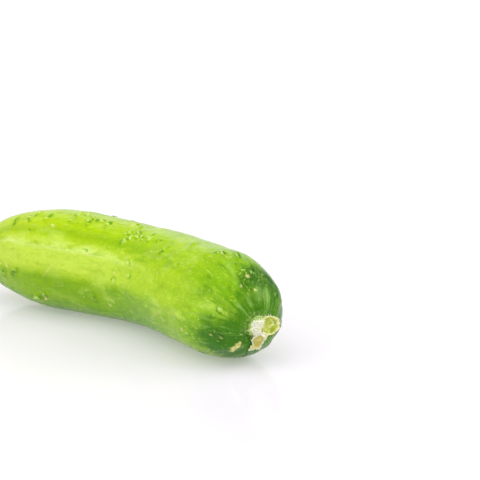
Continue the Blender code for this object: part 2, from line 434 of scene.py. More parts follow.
# Rough, crinkled places: distance along (mm), angle around (degrees), length, width, turn, strength.
ROUGH_MARKS = (
    (44.5, 111, 3.6, 1.8, 0, 0.9), (44.5, 99, 5.4, 2.6, 5, 1), (48, 97, 4.4, 2.4, 0, 1),
    (51.5, 107, 7, 2.8, 0, 1), (55.5, 104, 5, 2.6, 0, 1), (59.5, 107, 5, 2, 0, 1),
    (47, 116, 3.4, 1.3, 0, 0.6), (67.6, 93, 4.4, 1.8, 0, 0.9), (71.5, 95, 3.8, 1.6, 0, 0.8),
    (70.5, 113, 4.4, 2.2, 10, 0.9), (72.3, 123, 6.4, 3.2, 35, 1), (75.5, 113, 5.4, 2.6, 25, 1),
    (79, 116, 4.4, 2, -10, 0.9), (82.5, 111, 6, 2.4, -5, 1), (87.5, 111, 4.4, 1.6, 0, 0.8),
    (94.6, 123, 5.4, 1.9, 20, 0.9), (34.6, 111, 4.8, 2.3, 0, 0.9), (28, 106, 4.4, 1.8, 0, 0.8),
    (25.9, 115, 5.4, 2.2, 10, 0.8), (19.5, 118, 5.4, 2.4, 20, 0.8), (103, 97, 4, 2, 0, 0.6),
    (117.4, 94, 4.4, 2.4, 0, 1), (120, 79, 5.4, 2.4, 0, 1), (124.9, 92, 3, 1.2, 0, 0.7),
    (26, 187, 6, 3.2, 30, 0.7), (20, 193, 5, 3, 30, 0.7), (38.5, -148, 5, 2.4, 0, 0.9),
    (34, -143, 6, 2.4, 0, 0.8), (62, -160, 4.5, 2, 5, 0.5), (108, -165, 6, 3, 10, 0.5),
    (60, 20, 6, 3, 0, 0.9), (66, 12, 5, 2.4, 0, 0.8), (85, 45, 6, 3, 5, 0.9), (40, -10, 5, 2.4, 0, 0.8),
    (98, -20, 6, 3, -8, 0.8), (110, 30, 5, 2.6, 0, 0.8), (75, -60, 6, 3, 0, 0.7),
    (30, 60, 5, 2.4, 0, 0.8), (52, 62, 5, 2.6, 10, 0.8),
)
# The same, but pimpled instead of creased.
PIMPLED_MARKS = (
    (129, 86, 8, 8.5, 0, 0.72), (129.5, 66, 7, 8, 0, 0.6), (132, 98, 5, 5.5, 0, 0.6),
    (127, 72, 4.5, 5, 0, 0.55), (128, 48, 5, 5, 0, 0.5), (124, 146, 5, 4, 0, 0.35),
    (131, -160, 6, 5, 0, 0.4), (128, -20, 7, 6, 0, 0.8), (12, 40, 6, 5, 0, 0.6),
    (14, -120, 6, 5, 0, 0.6),
)
# Dry, corky scars: distance along, angle around, length, width, turn, strength.
CORK_MARKS = (
    (133.5, -135, 5.6, 1.9, 19, 1), (38.6, -146, 2.6, 1.2, 5, 0.8), (129.3, 87, 1.3, 1.1, 0, 0.9),
    (38.5, 124, 1.4, 1, 0, 0.7), (68, 96, 3.4, 1.5, 0, 0.5), (22, 181, 2, 1.2, 30, 0.8),
    (17.5, 178, 2.4, 1.4, 30, 0.7), (124, -126, 1.8, 0.8, 0, 0.7), (117, -160, 1.3, 1.5, 80, 0.7),
    (131, 20, 1.3, 1.1, 0, 0.9), (131.2, 106, 1, 0.9, 0, 0.7), (133.1, 86, 1, 0.9, 0, 0.7),
    (127.3, -123, 1.6, 0.9, 20, 0.6), (128.8, -163, 1.2, 0.8, 0, 0.6), (131.4, -159, 1, 0.7, 0, 0.6),
    (57.5, 150, 0.9, 0.8, 0, 0.8), (73.5, 165, 0.9, 0.7, 0, 0.8), (57, -158, 0.7, 0.6, 0, 0.8),
    (70, -153, 1.6, 0.9, 30, 0.5), (90, -25, 2.4, 1, 12, 0.8), (64, 30, 1.8, 1, 0, 0.7),
    (45, -80, 2.6, 1.2, 0, 0.7), (104, 55, 2, 1, 20, 0.6), (25, 15, 2, 1.2, 0, 0.7),
    (42, 177, 7, 0.6, 12, 0.3), (103, -168, 8, 0.8, 14, 0.3), (99, -160, 6, 0.7, 10, 0.25),
    (118, 94, 1.2, 0.8, 0, 0.7), (121, 90, 1, 0.7, 0, 0.7),
)
# Broad swells and hollows: distance along, angle around, length, width, rise (mm).
SWELLS = (
    (130, 22, 30, 34, 1.3), (120, 40, 20, 20, 0.4), (95, -150, 70, 26, -0.45), (44, 78, 60, 26, 0.35),
)
# Single warts: distance along, angle around, diameter, rise (mm).
WARTS = (
    (130.9, 155, 1.9, 0.36), (129.7, 168, 1.3, 0.26), (56.5, 151, 2, 0.32), (80, 151, 1.7, 0.26),
    (83, 163, 1.8, 0.28), (74, 174, 1.9, 0.26), (62, -156, 1.6, 0.22), (59, -167, 1.5, 0.2),
    (30, 136, 1.5, 0.2), (22, 118, 1.8, 0.25), (126, 141, 1.1, 0.2), (130, -172, 1.2, 0.2),
    (124, -150, 1.4, 0.22), (128.5, -163, 1.2, 0.2), (119, -158, 1.8, 0.3), (132, 158, 1, 0.2),
    (100, 150, 1.4, 0.16), (107, 132, 1.3, 0.16), (66, 137, 1.4, 0.14), (87, 140, 1.5, 0.14),
    (49, 172, 1.5, 0.16), (95, 176, 1.4, 0.16), (12, 160, 1.5, 0.2), (132, 40, 1.6, 0.28),
    (70, -20, 1.9, 0.3), (52, 8, 1.8, 0.26), (95, 15, 1.9, 0.3), (44, -40, 1.7, 0.25),
    (112, 5, 1.7, 0.25), (33, 30, 1.7, 0.25), (88, -55, 1.8, 0.25), (61, -95, 1.5, 0.15),
    (25, -70, 1.6, 0.2), (118, -30, 1.7, 0.25), (78, 80, 1.8, 0.28), (62, 72, 1.7, 0.25),
)

SKIN_MM = SKIN_POINTS * 1000


def marked(marks, reach, fade):
    """How strongly each point is marked: fully inside a mark, fading to nothing at its reach."""
    share = np.zeros(len(SKIN_POINTS))
    for along, around, length, width, turn, strength in marks:
        far = on_spot(along, around, length, width, turn)[0]
        share = np.maximum(share, strength * eased((reach - far) / fade))
    return share


ragged = crinkle(SKIN_MM, 0.7, 11.0)
rough = marked(ROUGH_MARKS, 1.25, 0.75)
pimpled = marked(PIMPLED_MARKS, 1.3, 0.8)
cork = marked(CORK_MARKS, 1.15 + ragged * 0.75, 0.4)

# A wart is a low dome with a partial, ragged ditch on its blossom side.
# wart holds a painted highlight on each dome and painted shade in its ditch; rise holds the relief.
wart = np.zeros(len(SKIN_POINTS))
rise = np.zeros(len(SKIN_POINTS))
for along, around, diameter, height in WARTS:
    far, lengthwise, sideways = on_spot(along, around, diameter, diameter)
    far = far + ragged * 0.7
    ditch = np.exp(-(((far - 1.3) / 0.35) ** 2)) * eased(0.35 - lengthwise * 0.8)
    wart += height * 3 * (eased((1.1 - far) / 0.9) - ditch)
    rise += height * (eased(1.3 - far) - 0.35 * ditch)
for along, around, length, width, height in SWELLS:
    far = on_spot(along, around, length, width)[0]
    rise += height * np.exp(-1.6 * far**2)
# A crescent bump, with a painted highlight on one side and painted shade on the other.
far, lengthwise, sideways = on_spot(34.6, 151, 4.2, 2.6, 60)
crescent = np.exp(-(((far - 0.9) / 0.32) ** 2)) * eased(0.6 - sideways)
rise += 0.3 * crescent
wart += crescent * (0.5 + sideways)

# The blossom scar: a small corky disc in a slight dimple, with a ragged collar.
tip = SKIN_POINTS[int(SKIN_V.argmin())]
from_tip = np.linalg.norm(SKIN_POINTS - tip, axis=1) * 1000
blossom_scar = eased((2.9 + ragged * 1.6 - from_tip) / 0.7)
cork = np.maximum(cork, blossom_scar)
rise += 0.35 * np.exp(-((from_tip - 2.9) / 0.8) ** 2) - 0.45 * eased((2.3 - from_tip) / 1.6)

# Torn skin round the stub, widest on its -Y side.
TORN_REACH = 5.2
TORN_REACH_MORE = 1.1
TORN_SIDE = radians(172)
seat = SKIN_POINTS[int(SKIN_V.argmax())]
from_seat = np.linalg.norm(SKIN_POINTS - seat, axis=1) * 1000
torn_side = SKIN_RING[:, 0] * cos(TORN_SIDE) + SKIN_RING[:, 1] * sin(TORN_SIDE)
torn_reach = TORN_REACH + TORN_REACH_MORE * eased((torn_side + 0.2) / 1.1)
halo = eased((torn_reach + ragged * 1.6 - from_seat) / 1.4)

# The rough marks' ridges run lengthwise, so they are drawn on the skin as if it were rolled out.
LENGTHWISE = 0.42
close = rough > 0.01
rolled_out = np.column_stack([SKIN_ALONG * LENGTHWISE, SKIN_RING[:, :2] * BELLY_RADIUS]) * 1000
ridge = np.zeros(len(SKIN_POINTS))
ridge[close] = 1 - 3.2 * np.abs(crinkle(rolled_out[close], 1.5, 3.0))
ridge[close] += 0.7 * crinkle(rolled_out[close], 0.75, 7.0)
ridge *= rough
rise += rough * 0.26 + ridge * 0.56
close = pimpled > 0.01
pimple = 1.9 * crinkle(SKIN_MM[close], 0.85, 13.0) + 1.3 * crinkle(SKIN_MM[close], 0.55, 17.0)
rise[close] += pimpled[close] * pimple * 0.4
pimple_ridge = (pimple * 1.25 - 0.2) * pimpled[close]
ridge[close] = np.where(pimpled[close] > rough[close], pimple_ridge, ridge[close])
rough = np.maximum(rough, pimpled)
close = halo > 0.01
rise[close] += halo[close] * crinkle(SKIN_MM[close], 0.8, 5.0) * 0.35
rise += cork * (0.16 + ragged * 0.3)

marked_skin = SKIN_POINTS + SKIN_NORMALS * (rise / 1000)[:, None]
marked_skin[:, 2] = np.maximum(marked_skin[:, 2], 0)
fruit.data.vertices.foreach_set("co", marked_skin.ravel())
skin_marks = {"rough": rough, "ridge": ridge, "cork": cork, "wart": wart, "halo": halo}
for title, share in skin_marks.items():
    keep(fruit.data, title, share)
fruit.data.update()

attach(fruit, "root")
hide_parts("fruit")


def shader_of(material):
    """A material's tree and shader, and a place on the object to draw patterns by."""
    material.use_nodes = True
    tree = material.node_tree
    return tree, tree.nodes["Principled BSDF"], add(tree, "ShaderNodeTexCoord", output="Object")


def set_finish(tree, shader, values):
    """Sets or links the shader's own inputs by name."""
    for title, value in values.items():
        feed(tree, shader.inputs[title], value)


def attribute(tree, name, output="Fac"):
    return add(tree, "ShaderNodeAttribute", output=output, attribute_name=name)


def mixed(tree, share, low, high, blend="MIX"):
    """One colour below, another above; a colour is an sRGB triple or a Field."""
    made = tree.nodes.new("ShaderNodeMix")
    made.data_type = "RGBA"
    made.blend_type = blend
    feed(tree, made.inputs[0], share)
    for slot, colour in ((made.inputs[6], low), (made.inputs[7], high)):
        feed(tree, slot, colour if isinstance(colour, Field) else (*srgb(*colour), 1))
    return Field(tree, made.outputs[2])


LIME = (182, 210, 2)  # the blossom end
LEAF = (160, 199, 8)  # the middle
STEM_GREEN = (116, 168, 16)  # the stem end
SEAT_GREEN = (42, 108, 14)  # round the stub
DEEP = (88, 148, 4)  # dark bands, and painted shade on the underside
PALE = (186, 212, 74)  # pale bands
# painted highlight along a rib's crest
CREST_HIGHLIGHT = (214, 236, 136)
CLOUD = (196, 224, 96)
SPECK = (192, 214, 48)
MOTTLE_LIGHT = (184, 214, 50)
MOTTLE_DARK = (118, 166, 6)
DASH = (192, 221, 80)
STREAK = (150, 196, 96)
PAINTED_HOLLOW_SHADE = (160, 200, 78)  # painted shade in the hollows of rough marks and round warts
PALE_DOT_AND_CREST_HIGHLIGHT = (212, 236, 144)  # painted highlight on their crests and on warts, and the pale dots at the stem end
HALO = (178, 206, 128)  # torn skin
CORK = (242, 236, 168)
CORK_DARK = (204, 200, 108)
LIGHT_SIDE = radians(130)  # round the stub, where the dark skin reaches least far, as painted light on the upper side
LOW_SIDE = radians(-140)  # and where it reaches furthest and is strongest, as painted shade on the low side
ROLL_RADIUS = 0.0175
# Middle and half width in degrees, and strength.
PALE_BANDS = (
    (160, 18.5, 0.71), (100, 9, 0.3), (62, 13, 0.55), (22, 12, 0.6), (-18, 14, 0.6), (-58, 12, 0.5),
    (-98, 13, 0.3), (-140, 6, 0.2),
)
# Dark bands the same way; the two at 225 and 252 degrees face the table and are made strong as painted
# shade on the underside.
DARK_BANDS_AND_UNDERSIDE_SHADE = (
    (131, 4, 0.42), (195, 16, 0.7), (225, 16, 0.85), (252, 14, 0.8), (80, 5, 0.3), (42, 6, 0.4),
    (2, 6, 0.4), (-38, 6, 0.4), (-78, 6, 0.4), (-120, 6, 0.35),
)


def paint_skin():
    tree, shader, place = shader_of(skin)
    along = attribute(tree, "along") * 1000
    ring = attribute(tree, "ring", "Vector")

    def rolled_skin(lengthwise):
        """The skin rolled out flat, and drawn together lengthwise so that patterns on it run long."""
        shrunk = along * (lengthwise / 1000)
        return vector_of(tree, shrunk, ring.part(0) * ROLL_RADIUS, ring.part(1) * ROLL_RADIUS)

    def facing(turn):
        """1 where the skin faces this way round the axis, 0 a quarter turn from it."""
        return ring.dot((cos(turn), sin(turn), 0.0))

    rolled = rolled_skin(0.4)
    wobble = centred_noise(tree, place, 70.0, detail=3.0)
    mottle = centred_noise(tree, rolled, 420.0, detail=3.0)
    fine = centred_noise(tree, rolled, 1300.0)

    # The bands fan out from the blossom scar, so that their edges are softer there.
    softness = (1 - along.between(0, 16)) * 16 + 8.5

    def band(centre, half_width, soft=1.0):
        """1 inside a lengthwise band of the skin (degrees), 0 outside."""
        ahead = facing(radians(centre))
        beside = facing(radians(centre + 90))
        away = (beside.math("ARCTAN2", ahead) * (180 / pi) + wobble * 10 + mottle * 14).math("ABSOLUTE")
        return 1 - away.between(half_width - softness * soft, softness * soft + half_width)

    def lay(share, over, blend="MIX"):
        """Lays another colour over what is painted so far."""
        nonlocal colour
        colour = mixed(tree, share, colour, over, blend=blend)

    # From the yellower blossom end to the deep green of the stem end.
    ageing = (along + wobble * 26).between(6, 96)
    colour = mixed(tree, ageing, LIME, LEAF)
    away_side = ring.part(0).between(-0.2, 1.0)
    to_stem = (along + wobble * 18 + mottle * 12 + away_side * 12).between(106, 134)
    lay(to_stem, STEM_GREEN)

    # Pale bands, strongest towards the blossom end.
    fading = 1 - (along + mottle * 20).between(60, 102)
    patchy = wobble * 0.9 + mottle * 0.9 + 1
    for centre, half_width, strength in PALE_BANDS:
        lay(band(centre, half_width) * (fading * strength + 0.12) * patchy, PALE)
    # Dark bands, and painted shade along the underside where the bands face the table.
    dark_share = 1 - (along + mottle * 20).between(84, 120) * 0.5
    for centre, half_width, strength in DARK_BANDS_AND_UNDERSIDE_SHADE:
        lay(band(centre, half_width) * dark_share * strength * patchy, DEEP)

    # A painted highlight runs along the edge of the widest pale band, where a rib's crest catches the
    # light.
    lay(band(149.5, 2.5, 0.45) * fading * patchy * 0.6, CREST_HIGHLIGHT)

    # Mottling, and short pale dashes that lie lengthwise.
    clouds = centred_noise(tree, rolled, 210.0, detail=6.0)
    lay(clouds.between(0.02, 0.22) * 0.34, CLOUD)
    lay((clouds * -1).between(0.02, 0.22) * 0.3, MOTTLE_DARK)
    lay(mottle.between(0.02, 0.3) * 0.42, MOTTLE_LIGHT)
    lay((mottle * -1).between(0.02, 0.3) * 0.38, MOTTLE_DARK)
    dashes = (fine + mottle * 0.5).between(0.1, 0.26) * along.between(45, 80) * 0.55
    lay(dashes, DASH)

    speckle = centred_noise(tree, place, 950.0, detail=3.0)
    lay(speckle.between(0.05, 0.25) * along.between(50, 100) * 0.5, SPECK)
    lay((speckle * -1).between(0.05, 0.3) * 0.2, MOTTLE_DARK)

    # Streaks that run together at the stem, and the dark skin round it.
    streaks = centred_noise(tree, rolled_skin(0.3), 430.0, detail=3.0, distortion=0.5)
    near_stem = (along + mottle * 8).between(112, 126)
    patches = centred_noise(tree, place, 150.0, detail=3.0)
    light_side = facing(LIGHT_SIDE).between(0.55, 1.0)
    low_side = facing(LOW_SIDE).between(0.45, 1.0)
    # The dark green round the stub is the skin's own; it reaches further and is stronger low down as
    # painted shade, and less far on the upper side as painted light.
    round_stub = along + mottle * 6 + patches * 18 + away_side * 6 + low_side * 4.5 - light_side * 3.5
    round_stub = round_stub.between(125.3, 133)
    lay(round_stub * (low_side * 0.17 + 0.8), SEAT_GREEN)
    lay((streaks * -1).between(0.0, 0.25) * near_stem * 0.6, SEAT_GREEN)
    lay(streaks.between(0.04, 0.26) * near_stem * 0.45, STREAK)

    # Pale dots, closest together low down at the stem end.
    dots = centred_noise(tree, place, 1150.0, detail=1.0).between(0.17, 0.27)
    lay(dots * near_stem * (low_side * 0.45 + 0.25), PALE_DOT_AND_CREST_HIGHLIGHT)

    colour = colour.vector("MULTIPLY", speckle * 0.14 + fine * 0.2 + patches * 0.14 + 1)

    # Rough marks get painted shade in their hollows and a painted highlight on their crests; scars are
    # dry and corky.
    grit = centred_noise(tree, place, 1300.0)
    rough_share = attribute(tree, "rough")
    ridge_height = attribute(tree, "ridge") + grit * rough_share * 1.8
    hollows = (rough_share * 1.15 * (1 - ridge_height.between(-0.1, 0.4))).math("MINIMUM", 1.0)
    lay(hollows, PAINTED_HOLLOW_SHADE, "MULTIPLY")
    lay(ridge_height.between(0.35, 0.85) * 0.6, PALE_DOT_AND_CREST_HIGHLIGHT)
    # Warts: a painted highlight on top and painted shade in the ditch round them.
    wart_share = attribute(tree, "wart")
    lay((wart_share * -1).between(0.0, 0.9) * 0.9, PAINTED_HOLLOW_SHADE, "MULTIPLY")
    lay(wart_share.between(0.1, 1.1) * 0.45, PALE_DOT_AND_CREST_HIGHLIGHT)
    halo_share = attribute(tree, "halo")
    lay(halo_share * (grit.between(-0.15, 0.25) * 0.6), HALO)
    cork_share = attribute(tree, "cork")
    cork_colour = mixed(tree, grit.between(-0.25, 0.25), CORK_DARK, CORK)
    lay(cork_share, cork_colour)

    dry = rough_share * 0.03 + cork_share * 0.45 + halo_share * 0.2 + mottle * 0.16 + 0.26
    pores = centred_noise(tree, place, 1500.0)
    swell = centred_noise(tree, place, 380.0, detail=3.0)
    gritty = grit * (rough_share + halo_share + cork_share)
    relief = mottle * 0.6 + pores * 0.2 + swell * 0.7 + gritty * 1.5
    bump = add(tree, "ShaderNodeBump", {"Strength": 0.7, "Distance": 0.00045, "Height": relief})
    set_finish(tree, shader, {
        "Base Color": colour,
        "Roughness": dry,
        "Normal": bump,
        "Specular IOR Level": 0.45,
        "Specular Tint": (0.8, 1.0, 0.25, 1),
        "Subsurface Weight": 0.06,
        "Subsurface Radius": (0.6, 1.0, 0.2),
        "Subsurface Scale": 0.002,
    })


paint_skin()

# ---------------------------------------- the stub
# The broken end of the stem: a short, leaning neck of pale, wet pith inside a thin tan rim. It
# snapped off, so that its face is hollow and ragged, and white fibres stand round it.

STUB_DIAMETER = 0.0064
STUB_FOOT_DIAMETER = 0.0096
STUB_LENGTH = 0.0060
STUB_FLARE = 0.0026  # length over which the foot narrows to the stub
STUB_LEAN = 0.32  # rise for each unit of length
BREAK_TILT = radians(14)  # the break faces a little towards -Y
BREAK_RIM = 0.15  # how far the rim stands past the stub's length (mm)
FACE_HOLLOW = 0.55  # depth of the hollow face (mm)
FOOT_DEPTH = 0.35  # how far the foot runs into the fruit (mm)
STUB_SEGMENTS = 120

UP = Vector((0, 0, 1))
SEAT_OUT = Vector(SKIN_NORMALS[int(SKIN_V.argmax())] * (1, 1, 0)).normalized()
SEAT_FRAME = np.array((UP.cross(SEAT_OUT), UP, SEAT_OUT)).T


def on_seat(points):
    """From the seat's own axes (side, up, out) to the object's."""
    return points @ SEAT_FRAME.T + seat


def lean(points):
    points = points.copy()
    points[:, 1] += STUB_LEAN * np.maximum(points[:, 2], 0)
    return points


def shell(name, rings):
    """A closed mesh from rings of points; the first and the last ring each close on one point."""
    count = len(rings[0])
    points = [rings[0].mean(0)]
    for ring in rings:
        points.extend(ring)
    points.append(rings[-1].mean(0))
    last = len(points) - 1
    faces = [(0, 1 + i, 1 + (i + 1) % count) for i in range(count)]
    for r in range(len(rings) - 1):
        low, high = 1 + r * count, 1 + (r + 1) * count
        for i in range(count):
            j = (i + 1) % count
            faces.append((low + i, high + i, high + j, low + j))
    start = last - count
    faces += [(last, start + (i + 1) % count, start + i) for i in range(count)]
    mesh = bpy.data.meshes.new(name)
    mesh.from_pydata([tuple(p) for p in points], [], faces)
    mesh.validate()
    mesh.update()
    return mesh


def smooth_piece(name, mesh, material):
    mesh.materials.append(material)
    mesh.shade_smooth()
    return new_object(name, mesh)


def point_outwards(mesh):
    """Turns every face outwards on a closed mesh."""
    work = bmesh.new()
    work.from_mesh(mesh)
    bmesh.ops.recalc_face_normals(work, faces=work.faces)
    work.to_mesh(mesh)
    work.free()


def build_stub():
    neck = STUB_DIAMETER * 500
    foot = STUB_FOOT_DIAMETER * 500
    top = STUB_LENGTH * 1000 + BREAK_RIM
    flare = STUB_FLARE * 1000
    turns = np.linspace(0, 2 * pi, STUB_SEGMENTS, endpoint=False)
    out = np.stack([np.cos(turns), np.sin(turns), turns * 0], 1)
    ragged_rim = crinkle(out * 2.6, 0.8, 2.0)
    wide_rim = crinkle(out * 1.2, 1.0, 9.0)
    grooves = 0.10 * np.cos(turns * 11 + 2 * wide_rim) + 0.12 * ragged_rim
    oval = 1 + 0.05 * np.cos(2 * turns + 0.6) + 0.03 * wide_rim
    # Share of the neck's radius, depth below the break, and whether it is the face or the rim.
    outline = []
    for share in np.linspace(0.06, 0.86, 22):
        hollow = FACE_HOLLOW * (1 - (share / 0.9) ** 2)
        outline.append((share, hollow, "face"))
    for share, below in ((0.91, -0.05), (0.945, -0.34), (0.975, -0.5), (1.0, -0.38), (1.02, 0.0)):
        outline.append((share, below, "rim"))
    rings, face, rim = [], [], []
    for share, below, part in outline:
        reach = neck * share * oval * (1 + (0.04 * ragged_rim if part == "rim" else 0.0))
        x, y = out[:, 0] * reach, out[:, 1] * reach
        z = top + x * np.sin(BREAK_TILT) - below
        if part == "rim":
            z = z + (0.55 * ragged_rim + 0.35 * wide_rim) * (below < 0.0)
        points = np.stack([x, y, z], 1)
        if part == "face":
            rough_face = crinkle(points + 4.0, 1.1, 6.0) * 0.35 + crinkle(points, 0.5, 8.0) * 0.14
            points[:, 2] += rough_face
        rings.append(points)
        face.append(np.full(STUB_SEGMENTS, 1.0 if part == "face" else 0.0))
        rim.append(np.full(STUB_SEGMENTS, 1.0 if part == "rim" else eased((share - 0.8) / 0.1)))
    for share in np.linspace(0.06, 1, 26):
        z_top = top + out[:, 0] * neck * np.sin(BREAK_TILT)
        z = z_top * (1 - share) - FOOT_DEPTH * share
        low = np.clip(z / flare, 0, 1)
        widen = (foot - neck) * (1 - np.sqrt(1 - (1 - low) ** 2))
        reach = neck * oval + widen + grooves * (1 - 0.6 * share)
        points = np.stack([out[:, 0] * reach, out[:, 1] * reach, z], 1)
        points[:, :2] *= 1 + 0.05 * crinkle(points, 0.8, 4.0)[:, None]
        rings.append(points)
        face.append(np.zeros(STUB_SEGMENTS))
        rim.append(np.full(STUB_SEGMENTS, eased(1 - share * 14)))
    rings = [on_seat(lean(r / 1000)) for r in rings]
    mesh = shell("stem_stub_pith", rings)
    for name, values in (("face", face), ("rim", rim)):
        flat = np.concatenate([[values[0][0]], *values, [values[-1][0]]])
        keep(mesh, name, flat)
    point_outwards(mesh)
    return mesh


stub_material = bpy.data.materials.new("stem_pith")
stub = smooth_piece("stem_stub_pith", build_stub(), stub_material)
# How far to the -Y side of the stub's own middle: white fibres cover that side.
stub_places = array_of(stub.data.vertices, "co")
stub_points = (stub_places - seat) @ SEAT_FRAME * 1000
from_lean = stub_points[:, 1] - stub_points[:, 2] * STUB_LEAN
torn = eased((-stub_points[:, 0] - 1.45) / 1.2) * eased((stub_points[:, 2] - 1.4) / 1.0)
torn = torn * (1 - eased((from_lean - 1.2) / 1.4))
torn = torn * (1 - array_of(stub.data.attributes["face"].data, "value"))
strands = 1 - 2.6 * np.abs(crinkle(stub_points * (1, 1, 0.45), 0.62, 21.0))
strands += 0.8 * crinkle(stub_points, 0.8, 23.0)
torn = torn * (0.3 + 0.7 * eased((strands + 0.1) / 0.7))
fluff = torn * (0.1 + 0.5 * strands) / 1000
fluffed = stub_places + array_of(stub.data.vertex_normals) * fluff[:, None]
stub.data.vertices.foreach_set("co", fluffed.ravel())
stub.data.update()
keep(stub.data, "torn", torn)
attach(stub, "root")
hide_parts("stem_stub")


NECK_GREEN = (132, 172, 44)
NECK_PALE = (190, 208, 112)
PITH_GREEN = (156, 178, 20)
PITH_YELLOW = (216, 220, 100)
PITH_WHITE = (240, 242, 186)
RIM_TAN = (244, 234, 176)
FIBRE_WHITE = (252, 250, 228)


def paint_stub():
    tree, shader, place = shader_of(stub_material)
    pith = centred_noise(tree, place, 900.0, detail=4.0, distortion=0.6)
    broad = centred_noise(tree, place, 350.0)
    face = attribute(tree, "face")
    rim = attribute(tree, "rim")
    torn_share = attribute(tree, "torn")
    colour = mixed(tree, broad.between(-0.2, 0.2), NECK_GREEN, NECK_PALE)
    wet = mixed(tree, (broad + pith * 0.5).between(-0.2, 0.2), PITH_GREEN, PITH_YELLOW)
    wet = mixed(tree, pith.between(0.03, 0.17) * 0.85, wet, PITH_WHITE)
    colour = mixed(tree, face, colour, wet)
    colour = mixed(tree, rim * (pith + 0.9).between(0.6, 1.0), colour, RIM_TAN)
    colour = mixed(tree, torn_share * (pith + 0.8).between(0.6, 0.95), colour, FIBRE_WHITE)
    dry = face * -0.3 + torn_share * 0.2 + 0.42
    bump = add(tree, "ShaderNodeBump", {"Strength": 0.9, "Distance": 0.0005, "Height": pith})
    set_finish(tree, shader, {
        "Base Color": colour,
        "Roughness": dry,
        "Normal": bump,
        "Subsurface Weight": 0.35,
        "Subsurface Radius": (1.0, 1.0, 0.35),
        "Subsurface Scale": 0.0018,
    })


paint_stub()

# -------------------------------------- the fibres
# Dry white strands that tore loose as the stem snapped: a dense tuft on the stub's -Y side, and
# a few short ones above it.

FIBRE_DENSITY = 6e6  # to a square metre, where the tuft is full
FIBRE_LENGTH = 0.0008
FIBRE_THICKNESS = 0.00013
FIBRE_TIP = 0.00002
FIBRE_WHITES = ((246, 246, 220), (255, 255, 250))


def fibre_tree(inputs):
    tree, size = geometry_tree("torn_fibres", inputs, takes_geometry=True)
    share = add(tree, "GeometryNodeInputNamedAttribute", {"Name": "tuft"})
    scattered = tree.nodes.new("GeometryNodeDistributePointsOnFaces")
    tree.links.new(size["Geometry"].socket, scattered.inputs["Mesh"])
    feed(tree, scattered.inputs["Density"], size["Density"] * share)
    scattered.inputs["Seed"].default_value = 7
    points = Field(tree, scattered.outputs["Points"])
    normal = Field(tree, scattered.outputs["Normal"])
    random = add(
        tree, "FunctionNodeRandomValue", {"Min": (-1, -1, -1), "Max": (1, 1, 1), "Seed": 3},
        data_type="FLOAT_VECTOR",
    )
    direction = normal.vector("ADD", random.vector("MULTIPLY", size["Scatter"]))
    direction = direction.vector("ADD", size["Lie"])
    turn = add(tree, "FunctionNodeAlignRotationToVector", {"Vector": direction}, axis="Z")
    cone = add(
        tree, "GeometryNodeMeshCone",
        {"Vertices": 5, "Side Segments": 3, "Radius Top": FIBRE_TIP, "Radius Bottom": size["Thickness"],
         "Depth": 0.001},
        output="Mesh",
    )
    grown, thick = (
        add(
            tree, "FunctionNodeRandomValue", {"Min": low, "Max": high, "Seed": seed},
            output="Value", data_type="FLOAT",
        )
        for low, high, seed in ((0.5, 1.7, 5), (0.7, 1.5, 6))
    )
    scale = vector_of(tree, thick, thick, grown * size["Length"] * 1000)
    placed = add(
        tree, "GeometryNodeInstanceOnPoints",
        {"Points": points, "Instance": cone, "Rotation": turn, "Scale": scale},
    )
    finish_tree(tree, placed, size["Fibre"])
    return tree


fibre_material = bpy.data.materials.new("dry_fibre")
tree, shader, place = shader_of(fibre_material)
strand = centred_noise(tree, place, 1600.0)
set_finish(tree, shader, {
    "Base Color": mixed(tree, strand.between(-0.2, 0.2), *FIBRE_WHITES),
    "Roughness": 0.55,
    "Subsurface Weight": 0.2,
    "Subsurface Radius": (1.0, 1.0, 0.6),
    "Subsurface Scale": 0.001,
})

fibre_inputs = {
    "Density": FIBRE_DENSITY,
    "Length": FIBRE_LENGTH,
    "Thickness": FIBRE_THICKNESS,
    "Scatter": (0.8, 0.8, 0.8),
    "Lie": tuple(SEAT_OUT * 0.5 + UP * 0.25),
    "Fibre": fibre_material,
}
upper = eased(from_lean - 1.6)
keep(stub.data, "tuft", np.clip(torn + 0.06 * upper, 0, 1))
fibres = grow("torn_fibres", fibre_tree(fibre_inputs), fibre_inputs, start=stub.data.copy())
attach(fibres, "root")
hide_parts("stem_stub")

# ---------------------------------- the torn strip
# A strip of the stem's rind that came away with the break and hangs below the stub: golden and
# half dry in its middle, with thin white edges that are torn and curled.

STRIP_WIDTH = 5.4
STRIP_LENGTH = 4.9
STRIP_THICKNESS = 0.00028
STRIP_CLEAR = 0.25  # above the skin
STRIP_START = -0.78  # under the neck, as a share of the neck's radius
STRIP_ASIDE = 0.55  # to its -Y side
STRIP_COLUMNS = 44
STRIP_ROWS = 50
RIND_GOLD = (194, 184, 56)
RIND_STRAW = (226, 218, 122)
RIND_GRAIN = (228, 222, 150)
RIND_EDGE = (226, 230, 196)
strip_material = bpy.data.materials.new("torn_rind")


